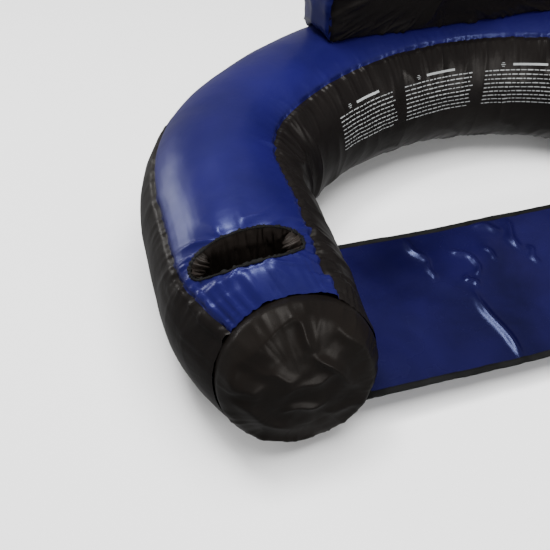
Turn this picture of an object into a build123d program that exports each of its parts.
"""Inflatable pool lounge: a U-shaped air tube in a sewn cover, a fabric sling seat between its
arms, a boxed backrest cushion on the back of the tube, a cup pocket in each arm, two air valves
and a zipped cover opening.

Millimetres, +Z up, +X to the sitter's left, the open side of the U towards -Y. The origin is the
middle of the float's footprint on the ground."""

import os
from math import acos, asin, cos, degrees, radians, sin, sqrt

from build123d import *

# ---- Driving dimensions --------------------------------------------------------------------
tube_diameter = 245.0  # inflated tube, outside the cover
arm_spacing = 848.0  # between the two arms' centre lines
depth = 733.0  # front tips of the arms to the back of the tube
flat_rise = 3.0  # how much the tube flattens where it lies on the ground
cover_thickness = 1.2
cover_gap = 0.3  # air between two layers that touch
corner_radius = 215.0  # centre line of the tube at its two rear corners
back_radius = 527.0  # centre line of the tube across the back
back_axis_y = depth / 2 - tube_diameter / 2

top_panel_inner_angle = -36.7  # seam angles round the tube: 0 is the top, + is outwards
top_panel_outer_angle = 52.5
bottom_panel_angle = 155.0

cup_centre_y = -212.0  # cup pockets, slots across the arms
cup_length = 140.0
cup_offset = 8.0  # towards the outside of each arm
cup_width = 66.0
cup_floor_z = 122.0
cup_liner_thickness = 1.2
cup_rim_width = 5.0
cup_rim_height = 3.0

sling_front_y = -328.0
sling_rear_y = -60.0
sling_z = 48.0
sling_thickness = 1.6
sling_binding_width = 9.0
sling_binding_thickness = 3.2
sling_hem_width = 14.0
sling_hem_thickness = 3.2

backrest_width = 446.0
backrest_thickness = 136.0
backrest_rise = 178.0  # from the line that it folds about to its top edge
backrest_corner_radius = 60.0
backrest_axis_y = 236.0
backrest_clearance = 2.5  # under the cushion, over the tube

valve_well_radius = 24.0
valve_insert_radius = 17.2
valve_bore_radius = 10.0
valve_depth = 14.0
valve_proud = 2.0
valve_lip = 1.5  # ledge under the insert
valve_fit_gap = 0.3
valve_cap_radius = 18.0
valve_cap_thickness = 2.0
valve_tab_reach = 23.0  # finger tab on the cap, opposite its strap
valve_flap_radius = 14.0
valve_flap_thickness = 1.0
valve_strap_width = 7.0
valve_strap_thickness = 1.2
valve_hinge_reach = 26.0
valve_anchor_reach = 31.0

zipper_angle = 120.0  # round the tube's section
zipper_half_sweep = 19.0  # degrees about the centre of the back's curve
zipper_tape_width = 13.0
zipper_tape_thickness = 0.8
zipper_teeth_width = 2.6
zipper_teeth_height = 1.4
zipper_teeth_split = 0.2
slider_length = 13.0
slider_width = 10.0
slider_roof = 1.4
slider_rail = 1.6
slider_gap = 0.4
pull_pin_radius = 1.0
pull_pin_height = 2.4
pull_post_width = 1.4
pull_length = 24.0
pull_width = 4.4
pull_thickness = 1.4
pull_eye_clearance = 0.3
stop_length = 3.0

# ---- Dimensions that follow ----------------------------------------------------------------
tube_radius = tube_diameter / 2
arm_x = arm_spacing / 2
tube_axis_z = tube_radius - flat_rise
bladder_radius = tube_radius - cover_thickness - cover_gap
bladder_floor_z = cover_thickness + cover_gap
arm_end_y = -depth / 2 + tube_radius  # where each arm's round end begins

corner_reach = arm_x - corner_radius
corner_turn = acos(corner_reach / (back_radius - corner_radius))
back_centre_y = back_axis_y - back_radius
corner_centre_y = back_centre_y + (back_radius - corner_radius) * sin(corner_turn)

backrest_axis_z = 2 * tube_radius - flat_rise + backrest_clearance + backrest_thickness / 2
sling_drop = tube_axis_z - sling_z - sling_hem_thickness / 2
sling_half_width = arm_x - sqrt(tube_radius**2 - sling_drop**2) - cover_gap
zipper_radius = tube_radius + cover_gap

section_plane = Plane(origin=(-arm_x, arm_end_y, tube_axis_z), x_dir=(-1, 0, 0), z_dir=(0, 1, 0))


# ---- Paths ---------------------------------------------------------------------------------
def tube_path():
    """Centre line of the U: arm, rear corner, back, rear corner, arm."""
    turn = degrees(corner_turn)
    with BuildLine(Plane.XY.offset(tube_axis_z)) as path:
        Line((-arm_x, arm_end_y), (-arm_x, corner_centre_y))
        CenterArc((-corner_reach, corner_centre_y), corner_radius, 180, -turn)
        CenterArc((0, back_centre_y), back_radius, 180 - turn, 2 * turn - 180)
        CenterArc((corner_reach, corner_centre_y), corner_radius, turn, -turn)
        Line((arm_x, corner_centre_y), (arm_x, arm_end_y))
    return path.wire()


def back_path(half_sweep):
    """A stretch of the back's centre line, centred on the float."""
    with BuildLine(Plane.XY.offset(tube_axis_z)) as path:
        CenterArc((0, back_centre_y), back_radius, 90 + half_sweep, -2 * half_sweep)
    return path.wire()


def back_plane(sweep):
    """Section plane across the back tube, `sweep` degrees towards +X from its middle."""
    outward = (sin(radians(sweep)), cos(radians(sweep)), 0)
    along = (cos(radians(sweep)), -sin(radians(sweep)), 0)
    centre = (back_radius * outward[0], back_centre_y + back_radius * outward[1], tube_axis_z)
    return Plane(origin=centre, x_dir=outward, z_dir=along)


def surface_plane(sweep, angle, height=0.0):
    """Plane on the back tube's skin: z_dir points out of the skin, x_dir runs along the tube."""
    base = back_plane(sweep)
    normal = base.x_dir * sin(radians(angle)) + Vector(0, 0, cos(radians(angle)))
    return Plane(origin=base.origin + normal * (tube_radius + height), x_dir=base.z_dir, z_dir=normal)


# ---- Sections ------------------------------------------------------------------------------
def flattened_disc(plane, radius, floor_z):
    """The tube's round section, cut flat at floor_z above the ground."""
    with BuildSketch(plane) as disc:
        Circle(radius)
        with Locations((0, floor_z - tube_axis_z)):
            Rectangle(4 * radius, 4 * radius, align=(Align.CENTER, Align.MIN), mode=Mode.INTERSECT)
    return disc.sketch


def band_section(plane, inner, outer, start, end):
    """A strip of a ring between two angles round the tube."""
    reach = 2 * outer
    middle = (start + end) / 2
    with BuildSketch(plane) as band:
        Circle(outer)
        Circle(inner, mode=Mode.SUBTRACT)
        with BuildLine():
            corners = [(reach * sin(radians(a)), reach * cos(radians(a))) for a in (start, middle, end)]
            Polyline((0, 0), *corners, close=True)
        make_face(mode=Mode.INTERSECT)
    return band.sketch


def swept(section, path, label):
    """One solid swept along a path."""
    with BuildPart() as body:
        sweep(section, path=path)
    body.part.label = label
    return body.part


# ---- Air bladder ---------------------------------------------------------------------------
def round_end(x, radius, floor_z):
    """The rounded tip of an arm: half a ball, flat where it lies on the ground."""
    with BuildPart() as end:
        with Locations((x, arm_end_y, tube_axis_z)):
            Sphere(radius)
        split(bisect_by=Plane(origin=(0, arm_end_y, 0), z_dir=(0, -1, 0)))
        split(bisect_by=Plane.XY.offset(floor_z))
    return end.part


def cup_x(x):
    """Middle of the cup pocket in the arm at x, a little outside the arm's centre line."""
    return x * (1 + cup_offset / arm_x)


def cup_void(x, clearance, floor_z):
    """The slot-shaped space that a cup pocket fills, open at the top of the arm."""
    with BuildPart() as void:
        with BuildSketch(Plane.XY.offset(floor_z)):
            with Locations((cup_x(x), cup_centre_y)):
                SlotOverall(cup_length + 2 * clearance, cup_width + 2 * clearance)
        extrude(amount=tube_diameter)
    return void.part


def main_bladder():
    """The U-shaped bladder, with a well for each cup pocket and one for the valve."""
    with BuildPart() as bladder:
        sweep(flattened_disc(section_plane, bladder_radius, bladder_floor_z), path=tube_path())
        for x in (-arm_x, arm_x):
            add(round_end(x, bladder_radius, bladder_floor_z))
            add(cup_void(x, cover_gap, cup_floor_z - cover_gap), mode=Mode.SUBTRACT)
        add(valve_well(main_valve_plane), mode=Mode.SUBTRACT)
    bladder.part.label = "main_air_bladder"
    return bladder.part


# ---- Cover ---------------------------------------------------------------------------------
def cover_panel(label, start, end):
    """A long cover panel that follows the whole tube between two seams."""
    section = band_section(section_plane, tube_radius - cover_thickness, tube_radius, start, end)
    with BuildPart() as panel:
        sweep(section, path=tube_path())
        for x in (-arm_x, arm_x):
            add(cup_void(x, cover_gap, cup_floor_z), mode=Mode.SUBTRACT)
        add(valve_well(main_valve_plane), mode=Mode.SUBTRACT)
    panel.part.label = label
    return panel.part


def bottom_panel():
    """The underside panel, flat where the float lies on the ground."""
    inner = flattened_disc(Plane.XY, tube_radius - cover_thickness, cover_thickness)
    reach = 2 * tube_radius
    side = reach * sin(radians(bottom_panel_angle))
    drop = reach * cos(radians(bottom_panel_angle))
    with BuildSketch(section_plane) as section:
        add(flattened_disc(Plane.XY, tube_radius, 0))
        add(inner, mode=Mode.SUBTRACT)
        with BuildLine():
            Polyline((0, 0), (side, drop), (0, -reach), (-side, drop), close=True)
        make_face(mode=Mode.INTERSECT)
    return swept(section.sketch, tube_path(), "cover_bottom_panel")


def end_cap(label, x):
    """The gathered cap over the round end of an arm."""
    with BuildPart() as cap:
        add(round_end(x, tube_radius, 0))
        add(round_end(x, tube_radius - cover_thickness, cover_thickness), mode=Mode.SUBTRACT)
        add(cup_void(x, cover_gap, cup_floor_z), mode=Mode.SUBTRACT)
    cap.part.label = label
    return cap.part


# ---- Cup pockets ---------------------------------------------------------------------------
def cup_shape(x, inset, floor_z, top_z):
    """A slot-shaped block that ends at the top of the arm."""
    with BuildPart() as block:
        with BuildSketch(Plane.XY.offset(floor_z)):
            with Locations((cup_x(x), cup_centre_y)):
                SlotOverall(cup_length - 2 * inset, cup_width - 2 * inset)
        extrude(amount=top_z - floor_z)
    return block.part


def arm_rod(x, radius):
    """A round bar along an arm, used to trim what ends on the arm's skin."""
    with BuildPart() as rod:
        with BuildSketch(Plane.XZ.offset(-cup_centre_y - cup_length)):
            with Locations((x, tube_axis_z)):
                Circle(radius)
        extrude(amount=2 * cup_length)
    return rod.part


def cup_pocket(label, x):
    """The sewn pocket that lines the well in an arm."""
    with BuildPart() as pocket:
        add(cup_shape(x, 0, cup_floor_z, 2 * tube_radius))
        add(arm_rod(x, tube_radius), mode=Mode.INTERSECT)
        liner = cup_liner_thickness
        add(cup_shape(x, liner, cup_floor_z + liner, 3 * tube_radius), mode=Mode.SUBTRACT)
    pocket.part.label = label
    return pocket.part


def cup_rim(label, x):
    """The bound edge round the mouth of a cup pocket."""
    with BuildPart() as rim:
        add(cup_shape(x, -cup_rim_width, cup_floor_z, 3 * tube_radius))
        add(cup_shape(x, 0, cup_floor_z, 3 * tube_radius), mode=Mode.SUBTRACT)
        add(arm_rod(x, tube_radius + cover_gap + cup_rim_height), mode=Mode.INTERSECT)
        add(arm_rod(x, tube_radius + cover_gap), mode=Mode.SUBTRACT)
    rim.part.label = label
    return rim.part


# ---- Sling seat ----------------------------------------------------------------------------
def sling_strip(label, x_size, y_low, y_high, thickness, x=0.0):
    """A flat rectangle of the sling or its binding, centred on the sling's level."""
    with BuildPart() as strip:
        with BuildSketch(Plane.XY.offset(sling_z - thickness / 2)):
            with Locations((x, (y_low + y_high) / 2)):
                Rectangle(x_size, y_high - y_low)
        extrude(amount=thickness)
    strip.part.label = label
    return strip.part


# ---- Backrest ------------------------------------------------------------------------------
def backrest_block(inset):
    """The cushion: upright sides, a round-cornered top and a round bottom about its fold line."""
    half_depth = backrest_thickness / 2 - inset
    width = backrest_width - 2 * inset
    rise = backrest_rise - inset
    front = Plane(origin=(0, backrest_axis_y, backrest_axis_z), x_dir=(1, 0, 0), z_dir=(0, -1, 0))
    with BuildPart() as block:
        with BuildSketch(front) as outline:
            Rectangle(width, rise, align=(Align.CENTER, Align.MIN))
            top_corners = outline.vertices().group_by(Axis.Y)[-1]
            fillet(top_corners, backrest_corner_radius - inset)
        extrude(amount=half_depth, both=True)
        with Locations((0, backrest_axis_y, backrest_axis_z)):
            Cylinder(half_depth, width, rotation=(0, 90, 0))
    return block.part


def backrest_slab(side):
    """The region of the cushion's front (-1) or rear (+1) face above the fold line."""
    face_y = backrest_axis_y + side * (backrest_thickness / 2 - cover_thickness / 2)
    with BuildPart() as slab:
        with BuildSketch(Plane.XY.offset(backrest_axis_z)):
            with Locations((0, face_y)):
                Rectangle(2 * backrest_width, cover_thickness)
        extrude(amount=2 * backrest_rise)
    return slab.part


def backrest_face(label, side):
    """The flat front or rear panel of the backrest's cover."""
    with BuildPart() as panel:
        add(backrest_block(0))
        add(backrest_slab(side), mode=Mode.INTERSECT)
        if side > 0:
            add(valve_well(backrest_valve_plane), mode=Mode.SUBTRACT)
    panel.part.label = label
    return panel.part


def backrest_gusset():
    """The boxing band round the backrest's sides, top and bottom."""
    with BuildPart() as gusset:
        add(backrest_block(0))
        add(backrest_block(cover_thickness), mode=Mode.SUBTRACT)
        for side in (-1, 1):
            add(backrest_slab(side), mode=Mode.SUBTRACT)
    gusset.part.label = "backrest_gusset"
    return gusset.part


def backrest_bladder():
    """The backrest's own air bladder, with a well for its valve."""
    with BuildPart() as bladder:
        add(backrest_block(cover_thickness + cover_gap))
        add(valve_well(backrest_valve_plane), mode=Mode.SUBTRACT)
    bladder.part.label = "backrest_air_bladder"
    return bladder.part


def backrest_base_strip():
    """The reinforced strip of the cover that the backrest is sewn to."""
    inner = tube_radius + cover_gap
    half_angle = degrees(asin(backrest_thickness / 3.8 / tube_radius))
    half_sweep = degrees(asin(backrest_width / 3.2 / back_radius))
    section = band_section(back_plane(-half_sweep), inner, inner + cover_thickness, -half_angle, half_angle)
    return swept(section, back_path(half_sweep), "backrest_base_strip")


# ---- Valves --------------------------------------------------------------------------------
main_valve_plane = surface_plane(22.0, 118.0)
backrest_valve_plane = Plane(
    origin=(140, backrest_axis_y + backrest_thickness / 2, backrest_axis_z + 45),
    x_dir=(0, 0, 1),
    z_dir=(0, 1, 0),
)


def valve_disc(plane, radius, low, high, bore=0.0):
    """A round disc or ring on a valve's axis, between two heights."""
    with BuildPart() as disc:
        with BuildSketch(plane.offset(low)):
            Circle(radius)
            if bore:
                Circle(bore, mode=Mode.SUBTRACT)
        extrude(amount=high - low)
    return disc.part


def valve_strap(plane, near, far, low, high):
    """A straight strap that runs out from a valve's axis."""
    with BuildPart() as strap:
        with BuildSketch(plane.offset(low)):
            with Locations(((near + far) / 2, 0)):
                Rectangle(far - near, valve_strap_width)
        extrude(amount=high - low)
    return strap.part


def valve_well(plane):
    """The round space that a valve takes up in a bladder and its cover."""
    return valve_disc(plane, valve_well_radius + cover_gap, -valve_depth - 3, 3 * valve_cap_thickness)


def valve(prefix, plane):
    """A screw-in air valve: welded base, insert with the bore, one-way flap and tethered cap."""
    socket = valve_insert_radius + valve_fit_gap
    insert_low = -valve_depth + 2 * valve_flap_thickness + valve_fit_gap
    insert_top = valve_proud + 1.0
    cap_low = insert_top + valve_fit_gap
    with BuildPart() as base:
        add(valve_disc(plane, valve_well_radius, -valve_depth, valve_proud, bore=socket))
        add(valve_disc(plane, valve_well_radius, -valve_depth - valve_lip, -valve_depth, valve_bore_radius))
        add(valve_strap(plane, valve_well_radius - 2, valve_anchor_reach, 0.8, valve_proud))
    base.part.label = prefix + "_base"

    with BuildPart() as insert:
        add(valve_disc(plane, valve_insert_radius, insert_low, insert_top, bore=valve_bore_radius))
    insert.part.label = prefix + "_insert"

    flap_low = insert_low - valve_fit_gap - valve_flap_thickness
    with BuildPart() as flap:
        add(valve_disc(plane, valve_flap_radius, flap_low, flap_low + valve_flap_thickness))
    flap.part.label = prefix + "_one_way_flap"

    with BuildPart() as cap:
        add(valve_disc(plane, valve_cap_radius, cap_low, cap_low + valve_cap_thickness))
        strap_top = cap_low + valve_strap_thickness
        add(valve_strap(plane, -valve_tab_reach, 2 - valve_cap_radius, cap_low, strap_top))
        add(valve_strap(plane, valve_cap_radius - 2, valve_hinge_reach, cap_low, strap_top))
    cap.part.label = prefix + "_cap"
    return [base.part, insert.part, flap.part, cap.part]


# ---- Cover zipper --------------------------------------------------------------------------
def zipper_strip(label, inner, outer, near, far):
    """A strip along the back, between two distances from the zipper's centre line."""
    start = zipper_angle + degrees(near / zipper_radius)
    end = zipper_angle + degrees(far / zipper_radius)
    section = band_section(back_plane(-zipper_half_sweep), inner, outer, start, end)
    return swept(section, back_path(zipper_half_sweep), label)


def zipper():
    """Both tapes and both rows of teeth."""
    tape_top = zipper_radius + zipper_tape_thickness
    teeth_top = tape_top + zipper_teeth_height
    half_split = zipper_teeth_split / 2
    teeth_edge = half_split + zipper_teeth_width
    return [
        zipper_strip("zipper_upper_tape", zipper_radius, tape_top, -zipper_tape_width, -half_split),
        zipper_strip("zipper_lower_tape", zipper_radius, tape_top, half_split, zipper_tape_width),
        zipper_strip("zipper_upper_teeth", tape_top, teeth_top, -teeth_edge, -half_split),
        zipper_strip("zipper_lower_teeth", tape_top, teeth_top, half_split, teeth_edge),
    ]


slider_sweep = -17.0
slider_floor = cover_gap + zipper_tape_thickness + slider_gap
slider_roof_low = cover_gap + zipper_tape_thickness + zipper_teeth_height + slider_gap
pull_axis_height = slider_roof_low + slider_roof + pull_pin_height


def slider_block(length, width, low, high, along=0.0, across=0.0):
    """A box on the slider, placed from the slider's own centre."""
    plane = surface_plane(slider_sweep, zipper_angle, low)
    with BuildPart() as block:
        with BuildSketch(plane):
            with Locations((along, across)):
                Rectangle(length, width)
        extrude(amount=high - low)
    return block.part


def zipper_slider():
    """The slider: a roof over the teeth, two rails beside them and a bridge for the pull."""
    roof_top = slider_roof_low + slider_roof
    rail_offset = (slider_width - slider_rail) / 2
    post_offset = (pull_width / 2) + pull_eye_clearance + pull_post_width / 2
    pin_length = 2 * post_offset + pull_post_width
    pin_plane = surface_plane(slider_sweep, zipper_angle, pull_axis_height)
    with BuildPart() as slider:
        add(slider_block(slider_length, slider_width, slider_roof_low, roof_top))
        for side in (-1, 1):
            across = side * rail_offset
            add(slider_block(slider_length, slider_rail, slider_floor, slider_roof_low, 0, across))
            across = side * post_offset
            post_top = pull_axis_height + pull_pin_radius
            add(slider_block(3.0, pull_post_width, roof_top, post_top, 0, across))
        with BuildSketch(Plane(origin=pin_plane.origin, x_dir=pin_plane.x_dir, z_dir=pin_plane.y_dir)):
            Circle(pull_pin_radius)
        extrude(amount=pin_length / 2, both=True)
    slider.part.label = "zipper_slider"
    return slider.part


def zipper_pull():
    """The pull tab, with an eye round the slider's pin."""
    pin_plane = surface_plane(slider_sweep, zipper_angle, pull_axis_height)
    eye_plane = Plane(origin=pin_plane.origin, x_dir=pin_plane.x_dir, z_dir=pin_plane.y_dir)
    eye = pull_pin_radius + pull_eye_clearance
    with BuildPart() as pull:
        with BuildSketch(eye_plane):
            Circle(eye + 0.7)
            with Locations((pull_length / 2, 0)):
                Rectangle(pull_length, pull_thickness)
            Circle(eye, mode=Mode.SUBTRACT)
        extrude(amount=pull_width / 2, both=True)
        with BuildSketch(surface_plane(slider_sweep, zipper_angle, pull_axis_height - 3)):
            with Locations((pull_length - 4, 0)):
                SlotOverall(5, 2.2)
        extrude(amount=6, mode=Mode.SUBTRACT)
    pull.part.label = "zipper_pull_tab"
    return pull.part


def zipper_stops():
    """A metal stop at each end of the teeth."""
    stop_low = cover_gap + zipper_tape_thickness + zipper_teeth_height + 0.1
    with BuildPart() as stops:
        for side in (-1, 1):
            sweep_angle = side * (zipper_half_sweep - degrees(stop_length / back_radius))
            with BuildSketch(surface_plane(sweep_angle, zipper_angle, stop_low)):
                Rectangle(stop_length, 2 * zipper_teeth_width)
            extrude(amount=1.2)
    stops.part.label = "zipper_end_stops"
    return stops.part


# ---- All pieces ----------------------------------------------------------------------------
edge = sling_binding_width
hem_x = sling_half_width - sling_hem_width / 2
sling_inner = 2 * (sling_half_width - sling_hem_width)
sling_binding = sling_binding_thickness
pieces = [
    main_bladder(),
    cover_panel("cover_top_panel", top_panel_inner_angle, top_panel_outer_angle),
    cover_panel("cover_outer_side_panel", top_panel_outer_angle, bottom_panel_angle),
    cover_panel("cover_inner_side_panel", -bottom_panel_angle, top_panel_inner_angle),
    bottom_panel(),
    end_cap("right_end_cap", -arm_x),
    end_cap("left_end_cap", arm_x),
    cup_pocket("right_cup_pocket", -arm_x),
    cup_pocket("left_cup_pocket", arm_x),
    cup_rim("right_cup_rim_binding", -arm_x),
    cup_rim("left_cup_rim_binding", arm_x),
    sling_strip("seat_sling", sling_inner, sling_front_y + edge, sling_rear_y - edge, sling_thickness),
    sling_strip("sling_front_binding", sling_inner, sling_front_y, sling_front_y + edge, sling_binding),
    sling_strip("sling_rear_binding", sling_inner, sling_rear_y - edge, sling_rear_y, sling_binding),
    sling_strip("sling_right_hem", sling_hem_width, sling_front_y, sling_rear_y, sling_hem_thickness, -hem_x),
    sling_strip("sling_left_hem", sling_hem_width, sling_front_y, sling_rear_y, sling_hem_thickness, hem_x),
    backrest_bladder(),
    backrest_face("backrest_front_panel", -1),
    backrest_face("backrest_rear_panel", 1),
    backrest_gusset(),
    backrest_base_strip(),
    zipper_slider(),
    zipper_pull(),
    zipper_stops(),
]
pieces += zipper()
pieces += valve("main_valve", main_valve_plane)
pieces += valve("backrest_valve", backrest_valve_plane)

os.makedirs("parts", exist_ok=True)
for piece in pieces:
    export_step(piece, f"parts/{piece.label}.step")
